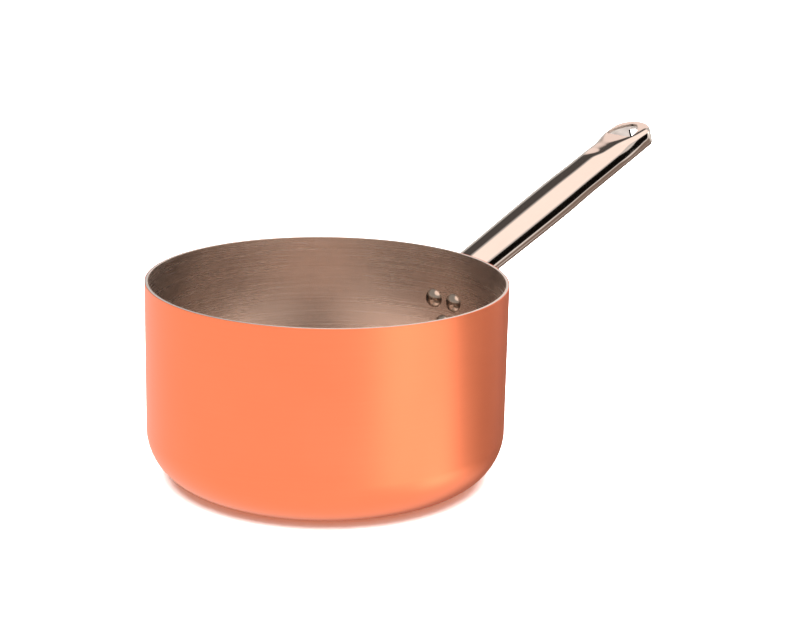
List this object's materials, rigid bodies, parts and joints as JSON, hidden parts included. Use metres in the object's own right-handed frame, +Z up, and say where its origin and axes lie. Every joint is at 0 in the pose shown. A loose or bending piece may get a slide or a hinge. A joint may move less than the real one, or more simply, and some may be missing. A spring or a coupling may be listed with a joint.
{
  "type": "saucepan",
  "caption": "Straight-sided copper saucepan with a steel lining, a rounded bottom corner and a riveted hollow steel handle with a hanging eye.",
  "frame": {"origin": "centre of the flat underside", "axes": "+Z up through the open top, +X along the handle seen from above, +Y to the pan's left with the handle pointing away"},
  "size_m": [0.3996, 0.204, 0.1702],
  "materials": {
    "copper": "satin polished copper",
    "core": "cut edge",
    "lining": "brushed",
    "handle": "polished stainless steel",
    "rivet": "polished stainless steel"
  },
  "bodies": {
    "root": {"copper_shell": "copper", "aluminium_core": "core", "steel_lining": "lining", "handle_tube": "handle", "handle_plate": "handle", "rivet_upper_left": "rivet", "rivet_upper_right": "rivet", "rivet_lower": "rivet"}
  },
  "joints": []
}
